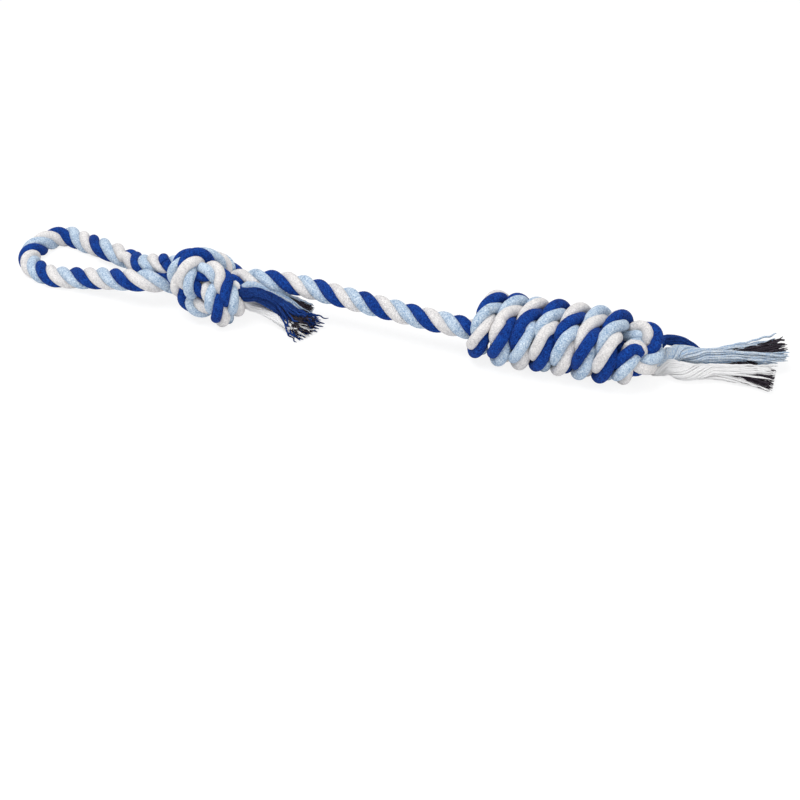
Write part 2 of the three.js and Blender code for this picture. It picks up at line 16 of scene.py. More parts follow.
import bpy
import numpy as np
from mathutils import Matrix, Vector

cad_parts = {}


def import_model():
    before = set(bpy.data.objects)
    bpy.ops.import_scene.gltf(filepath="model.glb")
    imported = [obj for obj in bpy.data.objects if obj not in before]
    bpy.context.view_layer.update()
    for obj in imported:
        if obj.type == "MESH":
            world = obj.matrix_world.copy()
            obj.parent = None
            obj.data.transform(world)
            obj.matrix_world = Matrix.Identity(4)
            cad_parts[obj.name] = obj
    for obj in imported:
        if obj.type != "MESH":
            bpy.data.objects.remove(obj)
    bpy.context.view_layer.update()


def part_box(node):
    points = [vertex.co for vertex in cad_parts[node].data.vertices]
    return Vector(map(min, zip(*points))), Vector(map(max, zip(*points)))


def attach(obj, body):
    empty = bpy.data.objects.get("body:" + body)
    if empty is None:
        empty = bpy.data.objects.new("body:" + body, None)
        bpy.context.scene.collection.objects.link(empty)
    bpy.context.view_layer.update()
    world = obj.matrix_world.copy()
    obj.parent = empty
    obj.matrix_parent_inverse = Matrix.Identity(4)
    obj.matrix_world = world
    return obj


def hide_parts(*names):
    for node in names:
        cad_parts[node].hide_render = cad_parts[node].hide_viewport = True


log = logging.getLogger("rope_toy")

MM = 0.001

# The part's sizes, as its source has them
ROPE_DIAMETER = 16.0
LOOP_ROPE_DIAMETER = 17.0
CORE_DIAMETER = 14.5
WOUND_DIAMETER = 13.6
KNOT_ROPE_DIAMETER = 12.2
CONTACT_GAP = 0.5
KNOT_GAP = 0.8
FLOOR_FLAT = 0.1
LOOP_LENGTH = 143.0
LOOP_WIDTH = 56.0
MAIN_ROPE_LENGTH = 162.0
BARREL_TURNS = 7
END_LENGTHS = {"tassel": 68.0, "tail": 52.0}
KNOT_OFFSET = -4.0
KNOT_ROLL = math.radians(-15)
TURN_EASE = 0.35
STRAIGHT_STEPS = 3
ARC_STEPS = 9
STEPS_PER_TURN = 2 * (STRAIGHT_STEPS + ARC_STEPS)
LOOP_STEP = 7.0
MAIN_ROPE_STEP = 12.0
BEND_STEP = 5.0
FINE_STEP = 1.5

# Where the laid cotton lies otherwise than the plain solids: the turns' lean and height, the
# spacing that ropes pressed together keep, and how many points of the line are left unlaid
TURN_LEAN = -0.08
COTTON_LIFT = 1.5
PRESSED_SPACING = 12.2
BIGHT_OVERLAP = 2.7
TAIL_UNLAID = 11
TASSEL_UNLAID = 4

CORE_SPACING = CORE_DIAMETER + CONTACT_GAP
WOUND_SPACING = WOUND_DIAMETER + CONTACT_GAP
KNOT_SPACING = KNOT_ROPE_DIAMETER + KNOT_GAP
TURN_RADIUS = (CORE_DIAMETER + WOUND_DIAMETER) / 2 + CONTACT_GAP
TURN_PITCH = WOUND_SPACING + TURN_EASE
BARREL_LENGTH = WOUND_SPACING + BARREL_TURNS * TURN_PITCH
BARREL_HEIGHT = WOUND_DIAMETER * (0.5 - FLOOR_FLAT) + TURN_RADIUS + COTTON_LIFT

# The strands' place and size as shares of the rope's diameter, and how uneven they are: the
# share and the length of each wave in their radius
STRAND_OFFSET = 0.258
STRAND_RADIUS = 0.247
UNEVEN_WAVES = ((0.022, 7.3), (0.016, 3.1))
STRAND_SIDES = 20
YARN_SIDES = 6
YARN_RADIUS = 0.68
YARN_STEP = 1.4
YARN_FLATNESS = 0.82
# Dark yarns inside the opened ends: painted shade of their insides, not a real dark core
SHADE_YARN_SIDES = 5
SHADE_YARN_RADIUS = 0.5
SHADE_YARN_RAGGED = 1.8
GOLDEN_ANGLE = 2.399963
FLOOR_CLEARANCE = 0.05 * MM

Array = np.ndarray
Inputs = dict[Union[int, str], object]
Material = bpy.types.Material
Node = bpy.types.Node
Outputs = bpy.types.NodeOutputs
Socket = bpy.types.NodeSocket
Tree = bpy.types.NodeTree
Triple = tuple[float, float, float]
Tube = tuple[Array, Array, Array]


class Strand(Enum):
    """The rope's strands, by their place round it."""

    BLUE = 0
    WHITE = 1
    LIGHT_BLUE = 2


# The strands' short names, for the tables
B, W, L = Strand.BLUE, Strand.WHITE, Strand.LIGHT_BLUE


# Lines


def along_line(line: Array) -> Array:
    """How far along a line each of its points lies."""
    return np.concatenate([[0.0], np.cumsum(np.linalg.norm(np.diff(line, axis=0), axis=1))])


def unit(rows: Array) -> Array:
    """The same directions with length 1."""
    return rows / np.linalg.norm(rows, axis=1)[:, None]


def tangents(line: Array) -> Array:
    """The direction of a line at each of its points."""
    return unit(np.gradient(line, axis=0))


def gently(share: Array) -> Array:
    """A share from 0 to 1 that leaves 0 and reaches 1 gently."""
    return share * share * (3 - 2 * share)


def evenly(line: Array, step: float) -> Array:
    """A line again in equal steps.

    Args:
        line: Points, one a row.
        step: A step's length, about.

    Returns:
        The new points.
    """
    along = along_line(line)
    count = max(3, int(math.floor(along[-1] / step + 0.5)))
    goals = along[-1] * np.arange(count + 1) / count
    return np.stack([np.interp(goals, along, line[:, k]) for k in range(3)], axis=1)


def through(points: Sequence[Sequence[float]], per_stretch: int = 12) -> Array:
    """A smooth line through a short list of points.

    Args:
        points: The points that it passes.
        per_stretch: Steps between one point and the next.

    Returns:
        The line's points.
    """
    given = np.array(points, float)
    padded = np.vstack([2 * given[0] - given[1], given, 2 * given[-1] - given[-2]])
    t = (np.arange(per_stretch) / per_stretch)[:, None]
    made = []
    for p0, p1, p2, p3 in zip(padded, padded[1:], padded[2:], padded[3:]):
        v0 = (p2 - p0) / 2
        v1 = (p3 - p1) / 2
        cubic = (2 * p1 - 2 * p2 + v0 + v1) * t**3
        made.append(cubic + (-3 * p1 + 3 * p2 - 2 * v0 - v1) * t**2 + v0 * t + p1)
    return np.vstack(made + [given[-1:]])


def routed(points: Sequence[Sequence[float]], step: float) -> Array:
    """A smooth line through a short list of points, in equal steps."""
    return evenly(through(points), step)


def push_apart(ropes: list[Array], step: float) -> list[Array]:
    """One push that moves points nearer than 1 apart, on all lines at once.

    Args:
        ropes: The lines, in rope diameters.
        step: The lines' step.

    Returns:
        The moved lines.
    """
    skip = math.ceil(1.5 / step)
    most_moved = 1.3
    beads = np.vstack(ropes)
    owner = np.concatenate([np.full(len(rope), k) for k, rope in enumerate(ropes)])
    index = np.concatenate([np.arange(len(rope)) for rope in ropes])
    apart = beads[:, None] - beads[None]
    distance = np.linalg.norm(apart, axis=2)
    near = distance < 1.0
    near &= (owner[:, None] != owner[None]) | (abs(index[:, None] - index[None]) >= skip)
    lack = np.where(near, (1.0 - distance) / 2, 0.0)
    moves = (apart * (lack / np.maximum(distance, 1e-9))[:, :, None]).sum(1)
    size = np.linalg.norm(moves, axis=1)
    moves *= np.minimum(1.0, most_moved * lack.max(1) / np.maximum(size, 1e-12))[:, None]
    ends = np.cumsum([len(rope) for rope in ropes])[:-1]
    return np.split(beads + moves, ends)


@dataclass(frozen=True)
class Pull:
    """One way to pull a knot tight: how often it is squeezed, the smoothings and pushes after
    each squeeze, how far a smoothing moves a point towards the middle of its neighbours, what
    a squeeze leaves of the distances from the middle, and whether the ends stay in place."""

    cycles: int
    rounds: int
    share: float
    squeeze: Triple
    pinned: bool = True

    def tighten(self, lines: list[Array]) -> list[Array]:
        """Pulls lines tight as ropes of diameter 1.

        Args:
            lines: The lines, in rope diameters.

        Returns:
            The tightened lines.
        """
        step, knot_end, knot_fade = 0.4, 2.2, 1.4
        ropes = [evenly(line, step) for line in lines]
        for _ in range(self.cycles):
            middle = np.zeros(3) if self.pinned else np.vstack(ropes).mean(0)
            for k, rope in enumerate(ropes):
                reach = np.clip((knot_end + knot_fade - abs(rope[:, 0])) / knot_fade, 0, 1)
                weight = (reach if self.pinned else np.ones(len(rope)))[:, None]
                kept = 1 - weight * (1 - np.array(self.squeeze))
                ropes[k] = (rope - middle) * kept + middle
            for _ in range(self.rounds):
                relaxed = [rope.copy() for rope in ropes]
                for rope, eased in zip(ropes, relaxed):
                    eased[1:-1] += self.share * ((rope[:-2] + rope[2:]) / 2 - rope[1:-1])
                pushed = push_apart(push_apart(relaxed, step), step)
                if self.pinned:
                    for rope, old in zip(pushed, ropes):
                        rope[0], rope[-1] = old[0], old[-1]
                ropes = pushed
            ropes = [evenly(rope, step) for rope in ropes]
        return ropes


OPEN_KNOT_PULL = Pull(72, 8, 0.12, (0.98, 0.98, 0.98), pinned=False)
LED_KNOT_PULLS = (
    Pull(70, 8, 0.2, (0.95, 0.98, 0.98)),
    Pull(30, 8, 0.1, (0.985, 0.965, 0.955)),
    Pull(2, 40, 0.02, (1, 1, 1)),
)


def nestle(line: Array, neighbours: list[tuple[Array, float]], step: float) -> Array:
    """Lays a stretch of rope against others that stay where they are.

    Args:
        line: The stretch, whose two points at either end stay.
        neighbours: The others' points, each with the spacing that is kept to them.
        step: The stretch's step.

    Returns:
        The laid stretch.
    """
    cycles, rounds, stiffness, margin = 12, 24, 0.5, 2
    route = line
    for cycle in range(cycles + 1):
        route = np.vstack([route[:1], evenly(route[1:-1], step), route[-1:]])
        for _ in range(rounds):
            before = np.vstack([route[:1], route[:-1]])
            after = np.vstack([route[1:], route[-1:]])
            bend = (before + after) / 2 - route
            for i in range(2, len(route) - 2):
                if cycle < cycles:
                    route[i] -= stiffness * ((bend[i - 1] + bend[i + 1]) / 2 - bend[i])
                for points, spacing in neighbours:
                    near = np.linalg.norm(points - route[i], axis=1) < spacing + margin
                    for other in points[near]:
                        away = route[i] - other
                        distance = math.sqrt(float(away @ away))
                        if distance < spacing:
                            route[i] += away * (spacing - distance) / distance / 2
    return route


# The rope's route


def in_barrel(places: Sequence[Triple], start: float = 0.0) -> Array:
    """Places in the barrel from shares of its core's spacing along, across and above it."""
    return np.array([start, 0, BARREL_HEIGHT]) + CORE_SPACING * np.array(places)


@dataclass
class RopeRoute:
    """Where the rope's middle runs, stretch by stretch, in the order that the rope passes."""

    stretches: dict[str, Array] = field(default_factory=dict)
    knot_reach: float = 3 * KNOT_SPACING

    def knot(self) -> list[Array]:
        """The handle knot, tied open and pulled tight.

        Returns:
            Its standing rope and its tail rope, in rope diameters.
        """
        over = 1.3
        middle = through([
            (-9, 0, 0), (-5, 0, 0), (-2.4, 0, -over), (0.4, 0, over), (3, 0.8, 0),
            (4, 3, -over), (2.6, 5.6, 0), (0, 6.4, 0), (-2.6, 5, 0), (-3.2, 2.6, 0.4),
            (-2.4, 0, over), (-1.6, -2.2, 0), (0.2, -2.2, -0.6), (0.6, 0, -over),
            (1.6, 2.4, 0), (4, 3.2, over), (6.4, 2.6, 0), (9, 1.5, 0), (12, 0.5, 0),
        ])
        before = np.vstack([middle[:1], middle[:-1]])
        after = np.vstack([middle[1:], middle[-1:]])
        across = unit(np.cross((0, 0, 1.0), after - before))
        half_pair = 0.6
        pair = [middle + side * across for side in (half_pair, -half_pair)]
        ropes = OPEN_KNOT_PULL.tighten(pair)
        centre = np.vstack(ropes).mean(0)
        c, s = math.cos(KNOT_ROLL), math.sin(KNOT_ROLL)
        roll = np.array([[1, 0, 0], [0, c, -s], [0, s, c]])
        ropes = [(rope - centre) @ roll.T for rope in ropes]
        lead_end, lead_steps = 5.5, 11
        shares = (np.arange(lead_steps) / lead_steps)[:, None]
        led = []
        for rope, side in zip(ropes, (1, -1)):
            leg = np.array([-lead_end, -0.55 * side, 0])
            way_out = np.array([lead_end, 0.45 * side, 0.4 * side])
            first = leg + (rope[0] - leg) * shares
            last = way_out + (rope[-1] - way_out) * shares
            led.append(np.vstack([first, rope, last[::-1]]))
        for pull in LED_KNOT_PULLS:
            led = pull.tighten(led)
        return led

    def pressed(self, rope: Array) -> Array:
        """The knot as its soft cotton packs it: shorter and lower between its leads.

        Args:
            rope: A rope of the knot, from the knot's middle.

        Returns:
            The rope, with its ends where they were.
        """
        shorter, lower, along, fade = 0.15, 0.06, 1.8, 14.0
        weight = gently(np.clip((self.knot_reach - abs(rope[:, 0])) / fade, 0, 1))
        made = rope.copy()
        made[:, 0] += weight * (along - shorter * rope[:, 0])
        made[:, 2] -= weight * lower * (rope[:, 2] - rope[:, 2].min())
        return made

    def winding(self) -> Array:
        """The barrel's turns, a left-handed winding round two passes, up the near side.

        Returns:
            The turns' points, from the first turn's foot to the last one's.
        """
        radius, straight = TURN_RADIUS, CORE_SPACING
        half = straight / 2
        arc = math.pi * radius
        perimeter = 2 * (straight + arc)
        near_side = (straight + arc / 2) / perimeter
        first = WOUND_SPACING / 2 - near_side * TURN_PITCH
        turns = []
        travelled = straight + arc
        for run in range(2, 4 * BARREL_TURNS + 1):
            bent = run % 2 == 1
            side = 1 if run % 4 > 1 else -1
            length, steps = (arc, ARC_STEPS) if bent else (straight, STRAIGHT_STEPS)
            for i in range(steps):
                u = length * i / steps
                y, z = side * (u - half), side * radius
                if bent:
                    y = side * (half + radius * math.sin(u / radius))
                    z = side * radius * math.cos(u / radius)
                x = first + TURN_PITCH * (travelled + u) / perimeter + TURN_LEAN * z
                turns.append((x, y, BARREL_HEIGHT + z))
            travelled += length
        end = first + TURN_PITCH * travelled / perimeter - TURN_LEAN * radius
        turns.append((end, -half, BARREL_HEIGHT - radius))
        return np.array(turns)

    def loop(self, start: Array, end: Array) -> Array:
        """The hand loop.

        Args:
            start: Where the tail's leg leaves the knot.
            end: Where the main rope's leg enters it.

        Returns:
            The loop's points, round its far end.
        """
        centre = (start + end) / 2
        low = LOOP_ROPE_DIAMETER * (0.5 - FLOOR_FLAT)
        rise = centre[2] - low
        reach = LOOP_LENGTH - LOOP_ROPE_DIAMETER / 2
        twist = (start[2] - end[2]) / 2
        route = [
            (0.1, 0.14, 0.93, 0.5), (0.19, 0.2, 0.74, 0.1), (0.37, 0.5, 0.4, 0),
            (0.57, 0.76, 0.15, 0), (0.74, 0.93, 0, 0), (0.88, 1.02, 0, 0), (0.965, 0.9, 0, 0),
            (1, 0.6, 0, 0), (0.985, 0.34, 0, 0), (0.9, 0.1, 0, 0), (0.74, -0.04, 0, 0),
            (0.57, -0.05, 0.15, 0), (0.39, -0.08, 0.4, 0), (0.19, -0.15, 0.74, -0.1),
            (0.1, -0.14, 0.93, -0.5),
        ]
        inner = []
        for along, across, high, turned in route:
            height = low + high * rise + turned * twist
            inner.append((centre[0] - along * reach, centre[1] + across * LOOP_WIDTH, height))
        return routed([start, *inner, end], LOOP_STEP)

    def fine(self, node: str) -> Array:
        """A stretch's points, close together."""
        return evenly(self.stretches[node], FINE_STEP)

    def lay_left_bend(self) -> None:
        """Adds the bend that brings the rope out of the barrel's core, over the first turn."""
        winding = self.stretches["barrel_winding"]
        places = in_barrel([
            (1, 0.5, 0), (0.75, 0.5, 0), (0.35, 0.42, -0.45), (0, 0.15, -0.85), (0.04, -0.3, -1),
            (0.32, -0.95, -0.95), (0.62, -1.45, -0.4), (0.7, -1.45, 0.35), (0.68, -1.1, 0.82),
        ])
        line = routed([*places, winding[0]], BEND_STEP)
        near = np.vstack([
            winding[3 : 2 * STEPS_PER_TURN], self.fine("main_rope"),
            self.fine("barrel_core_standing"),
        ])
        laid = nestle(np.vstack([line, winding[1:2]]), [(near, PRESSED_SPACING)], BEND_STEP)
        core = self.stretches["barrel_core_return"]
        self.stretches["barrel_core_return"] = np.vstack([core, laid[1:-1]])

    def lay_tuck(self) -> None:
        """Adds the last turn's end, up the near side, over and down through the U turn."""
        winding = self.stretches["barrel_winding"]
        places = in_barrel([
            (-0.75, -1.35, -0.6), (-0.72, -1.6, 0), (-0.66, -1.35, 0.7), (-0.5, -0.85, 1.08),
            (-0.22, -0.35, 0.95), (-0.04, -0.1, 0.2), (0.08, 0.02, -0.7), (0.42, 0.36, -0.97),
            (0.9, 0.7, -0.98),
        ], BARREL_LENGTH)
        line = routed([winding[-1], *places], BEND_STEP)
        neighbours = [
            (winding[:-3], PRESSED_SPACING),
            (self.fine("end_bight"), PRESSED_SPACING - BIGHT_OVERLAP),
            (self.fine("barrel_core_return"), PRESSED_SPACING),
        ]
        laid = nestle(np.vstack([winding[-2:-1], line]), neighbours, BEND_STEP)
        self.stretches["end_tuck"] = laid[1:]

    def build(self) -> None:
        """Lays the stretches out."""
        ropes = [rope * KNOT_SPACING for rope in self.knot()]
        lowest = min(rope[:, 2].min() for rope in ropes)
        height = KNOT_ROPE_DIAMETER * (0.5 - FLOOR_FLAT) - lowest
        place = np.array([-MAIN_ROPE_LENGTH - self.knot_reach, KNOT_OFFSET, height])
        standing, tail = (
            self.pressed(rope[abs(rope[:, 0]) <= self.knot_reach]) + place for rope in ropes
        )
        turn_ends = in_barrel([(-1, -0.5, 0), (-1, 0.5, 0)], BARREL_LENGTH)
        core_ends = in_barrel([(0, -0.5, 0), (1, 0.5, 0)])
        core_out, core_back = (
            evenly(np.array(ends), CORE_SPACING)
            for ends in ((core_ends[0], turn_ends[0]), (turn_ends[1], core_ends[1]))
        )
        fall = core_ends[0] - standing[-1]
        shares = np.array([(0.16, -0.02, -0.2), (0.45, 0.36, 0.28), (0.75, 0.76, 0.75)])
        main = routed([standing[-1], *(standing[-1] + fall * shares), core_ends[0]], MAIN_ROPE_STEP)
        bight = routed([turn_ends[0], *in_barrel([
            (-0.6, -0.58, -0.1), (-0.2, -0.82, -0.26), (0.2, -0.82, -0.28), (0.5, -0.46, -0.2),
            (0.58, 0.02, 0.05), (0.47, 0.45, 0.42), (0.16, 0.72, 0.66), (-0.2, 0.72, 0.55),
            (-0.6, 0.55, 0.12),
        ], BARREL_LENGTH), turn_ends[1]], BEND_STEP)
        self.stretches = {
            "handle_knot_tail": tail[::-1],
            "handle_loop": self.loop(tail[0], standing[0]),
            "handle_knot_standing": standing,
            "main_rope": main,
            "barrel_core_standing": core_out,
            "end_bight": bight,
            "barrel_core_return": core_back,
            "barrel_winding": self.winding(),
        }
        self.lay_tuck()
        self.lay_left_bend()


# The laid rope


@dataclass(frozen=True)
class StretchLook:
    """How the rope lies in one stretch: its thickness, the length of one turn of its strands
    and, as shares of the stretch, where which strand faces the viewer."""

    diameter: float
    lay: float
    facing: tuple[tuple[float, Strand], ...] = ()


WOUND_ROUNDS = BARREL_TURNS - 0.5
TURNS_FACING = (
    (0.83, B), (1.0, W), (1.79, L), (1.97, B), (2.71, B), (2.86, W), (2.98, L), (3.68, W),
    (3.83, L), (3.96, B), (4.65, L), (4.79, B), (4.95, W), (5.77, W), (5.91, L),
)
STRETCH_LOOKS = {
    "handle_knot_tail": StretchLook(15.6, 34.0, ((0.0, B), (0.325, L), (0.56, B), (0.68, W))),
    "handle_loop": StretchLook(16.8, 37.5, (
        (0.11, B), (0.19, W), (0.25, L), (0.303, B), (0.417, B), (0.53, B), (0.662, B),
        (0.778, B), (0.894, B),
    )),
    "handle_knot_standing": StretchLook(15.6, 36.0, ((0.244, L), (0.45, B), (0.51, W), (0.62, B))),
    "main_rope": StretchLook(16.2, 36.2, ((0.12, B), (0.555, B), (0.985, B))),
    "barrel_core_standing": StretchLook(14.5, 40.0),
    "end_bight": StretchLook(15.6, 38.0, ((0.36, L), (0.52, B), (0.69, W), (0.84, L))),
    "barrel_core_return": StretchLook(15.4, 48.0, ((0.81, B), (0.91, W))),
    "barrel_winding": StretchLook(
        16.6, 52.5, tuple((rounds / WOUND_ROUNDS, strand) for rounds, strand in TURNS_FACING)
    ),
    "end_tuck": StretchLook(15.6, 42.0, ((0.22, L), (0.43, B), (0.55, W), (0.85, W))),
}


@dataclass
class LaidRope:
    """Three strands laid right-handed round the whole route, as the viewer sees them."""

    route: RopeRoute
    origin: Array
    viewer: Array
    step: float = 1.25
    swell: float = 30.0

    def __post_init__(self) -> None:
        """Joins the stretches into one smooth line and gives each point its thickness."""
        lines, marks, names = [], [0], list(self.route.stretches)
        for points in self.route.stretches.values():
            lines.append(points if not lines else points[1:])
            marks.append(marks[-1] + len(points) - 1)
        per_step = 8
        smooth = through(np.vstack(lines) + self.origin, per_step)
        fine = along_line(smooth)
        lengths = [fine[per_step * mark] for mark in marks]
        self.line: Array = evenly(smooth, self.step)
        self.along: Array = np.linspace(0, fine[-1], len(self.line))
        steps = len(self.line) - 1
        edges = [int(round(length / fine[-1] * steps)) for length in lengths]
        self.spans: dict[str, tuple[int, int]] = dict(zip(names, zip(edges, edges[1:])))
        looks = [STRETCH_LOOKS[name] for name in names]
        self.diameter: Array = self.gone_over([look.diameter for look in looks], lengths)
        self.lay: Array = self.gone_over([look.lay for look in looks], lengths)
        self.tangent: Array = tangents(self.line)
        self.carry_normal()
        self.side: Array = np.cross(self.tangent, self.normal)
        self.turn_strands()

    def gone_over(self, values: list[float], lengths: list[float]) -> Array:
        """A value of the stretches, which goes over smoothly from one to the next.

        Args:
            values: The stretches' values.
            lengths: Where the stretches begin and end.

        Returns:
            The value at each point.
        """
        result = np.full(len(self.along), values[0])
        for k in range(1, len(values)):
            share = gently(np.clip((self.along - lengths[k]) / self.swell + 0.5, 0, 1))
            result = result + (values[k] - values[k - 1]) * share
        return result

    def carry_normal(self) -> None:
        """Carries a direction square to the line along it without turning."""
        normals = np.zeros_like(self.line)
        start = np.cross((0, 0, 1.0), self.tangent[0])
        normals[0] = start / np.linalg.norm(start)
        for i in range(1, len(self.line)):
            v1 = self.line[i] - self.line[i - 1]
            c1 = v1 @ v1
            reflected = normals[i - 1] - 2 / c1 * (v1 @ normals[i - 1]) * v1
            v2 = self.tangent[i] - self.tangent[i - 1] + 2 / c1 * (v1 @ self.tangent[i - 1]) * v1
            c2 = v2 @ v2
            normals[i] = reflected - (2 / c2 * (v2 @ reflected) * v2 if c2 > 1e-14 else 0)
            normals[i] -= (normals[i] @ self.tangent[i]) * self.tangent[i]
            normals[i] /= np.linalg.norm(normals[i])
        self.normal: Array = normals

    def turn_strands(self) -> None:
        """Turns the blue strand round the line at its lay's rate, eased to what faces where."""
        full = 2 * math.pi
        rate = full / self.lay
        natural = np.append(0.0, np.cumsum((rate[1:] + rate[:-1]) / 2 * np.diff(self.along)))
        known, extra = [], []
        for name, (first, last) in self.spans.items():
            for share, strand in STRETCH_LOOKS[name].facing:
                i = int(round(first + share * (last - first)))
                sight = self.viewer - self.line[i]
                angle = math.atan2(sight @ self.side[i], sight @ self.normal[i])
                angle += full * strand.value / 3
                usual = natural[i] + (extra[-1] if extra else 0.0)
                angle += full * round((usual - angle) / full)
                known.append(self.along[i])
                extra.append(angle - natural[i])
        eased = through([(place, value, 0.0) for place, value in zip(known, extra)])
        self.turn: Array = natural + np.interp(self.along, eased[:, 0], eased[:, 1])

    def strand_line(self, strand: Strand, first: int, last: int) -> tuple[Array, Array, Array]:
        """One strand over a part of the line.

        Args:
            strand: Which strand.
            first: The first point's place in the line.
            last: The last point's place in the line.

        Returns:
            Its middle's points, directions away from the rope's middle, and radii.
        """
        part = slice(first, last + 1)
        angle = (self.turn[part] - 2 * math.pi * strand.value / 3)[:, None]
        outward = self.normal[part] * np.cos(angle) + self.side[part] * np.sin(angle)
        points = self.line[part] + outward * (STRAND_OFFSET * self.diameter[part])[:, None]
        strands_apart = 40.0
        along = self.along[part] + strands_apart * strand.value
        uneven = 1 + sum(share * np.sin(along / length) for share, length in UNEVEN_WAVES)
        return points, outward, STRAND_RADIUS * self.diameter[part] * uneven


# Meshes


def tube_mesh(points: Array, outward: Array, radii: Array, sides: int) -> Tube:
    """A closed tube along a line.

    Args:
        points: The line.
        outward: The direction that each ring's first corner faces.
        radii: The radius at each point.
        sides: Corners of a ring.

    Returns:
        Corners, faces as rows of four corner numbers, the last of them -1 in a triangle, and
        each corner's place along and round the tube.
    """
    tangent = tangents(points)
    out = unit(outward - (outward * tangent).sum(1)[:, None] * tangent)
    across = np.cross(tangent, out)
    angles = (2 * math.pi * np.arange(sides) / sides)[None, :, None]
    ring = out[:, None] * np.cos(angles) + across[:, None] * np.sin(angles)
    rings = (points[:, None] + ring * radii[:, None, None]).reshape(-1, 3)
    count = len(points)
    base = (np.arange(count - 1) * sides)[:, None]
    k = np.arange(sides)[None]
    n = (k + 1) % sides
    quads = np.stack([base + k, base + n, base + n + sides, base + k + sides], axis=2)
    middle, last_ring = len(rings), (count - 1) * sides
    caps = []
    for i, j in zip(k[0], n[0]):
        caps += [(middle, j, i, -1), (middle + 1, last_ring + i, last_ring + j, -1)]
    along = along_line(points)
    where = np.stack([np.repeat(along, sides), np.tile(k[0] / sides, count)], axis=1)
    where = np.vstack([where, (0, 0), (along[-1], 0)])
    corners = np.vstack([rings, points[:1], points[-1:]])
    return corners, np.vstack([quads.reshape(-1, 4), caps]), where


def new_object(name: str, data: bpy.types.ID) -> bpy.types.Object:
    """A new object in the scene, made of a mesh, a light or a camera."""
    made = bpy.data.objects.new(name, data)
    bpy.context.scene.collection.objects.link(made)
    return made


@dataclass
class Piece:
    """A visible piece made of tubes, each with its material's number and a tone from 0 to 1,
    and what it stands for: its node, and a material slot that is not used."""

    name: str
    node: str
    slot: str
    materials: list[Material]
    parts: list[tuple[Tube, int, float]] = field(default_factory=list)

    def build(self) -> bpy.types.Object:
        """Makes the piece, smooth, with a UV map of lengths along and shares round.

        Returns:
            The piece's object.
        """
        tubes, numbers, tones = zip(*self.parts)
        corners = np.vstack([tube[0] for tube in tubes]) * MM
        corners[:, 2] = np.maximum(corners[:, 2], FLOOR_CLEARANCE)
        polygons = []
        count = 0
        for tube_corners, faces, _ in tubes:
            polygons += [[count + c for c in row if c >= 0] for row in faces.tolist()]
            count += len(tube_corners)
        mesh = bpy.data.meshes.new(self.name)
        mesh.from_pydata(corners.tolist(), [], polygons)
        numbers = np.repeat(numbers, [len(tube[1]) for tube in tubes])
        mesh.polygons.foreach_set("material_index", numbers.astype(np.int32))
        mesh.polygons.foreach_set("use_smooth", np.ones(len(polygons), bool))
        sizes = np.array([len(p) for p in polygons])
        uv = np.vstack([tube[2] for tube in tubes])[np.concatenate(polygons)]
        uv[:, 0] *= MM
        starts = np.repeat(np.concatenate([[0], np.cumsum(sizes)[:-1]]), sizes)
        uv[uv[starts, 1] - uv[:, 1] > 0.5, 1] += 1.0
        uv = uv.ravel().astype(np.float32)
        mesh.uv_layers.new(name="strand").data.foreach_set("uv", uv)
        tones = np.repeat(tones, [len(tube[0]) for tube in tubes]).astype(np.float32)
        mesh.attributes.new("tone", "FLOAT", "POINT").data.foreach_set("value", tones)
        for material in self.materials:
            mesh.materials.append(material)
        mesh.update()
        made = new_object(self.name, mesh)
        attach(made, "root")
        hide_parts(self.node)
        log.info("%s: %d corners", self.name, count)
        return made


# Finishes


def colour(code: str) -> tuple[float, float, float, float]:
    """A written colour as the linear values that a shader takes."""
    values = [int(code[i : i + 2], 16) / 255 for i in (1, 3, 5)]
    linear = [v / 12.92 if v <= 0.04045 else ((v + 0.055) / 1.055) ** 2.4 for v in values]
    return (*linear, 1.0)


def feed(tree: Tree, node: Node, inputs: Inputs) -> None:
    """Gives a node its inputs.

    Args:
        tree: The nodes that it stands among.
        node: The node.
        inputs: A value for each input, or the socket that feeds it.
    """
    for name, value in inputs.items():
        if isinstance(value, Socket):
            tree.links.new(value, node.inputs[name])
        else:
            node.inputs[name].default_value = value


def add_node(tree: Tree, kind: str, inputs: Inputs, **settings: object) -> Outputs:
    """Adds a shader node.

    Args:
        tree: The nodes that it joins.
        kind: Its type.
        inputs: Its inputs' values or sockets.
        settings: Its own settings.

    Returns:
        Its outputs.
    """
    made = tree.nodes.new(f"ShaderNode{kind}")
    for name, value in settings.items():
        setattr(made, name, value)
    feed(tree, made, inputs)
    return made.outputs


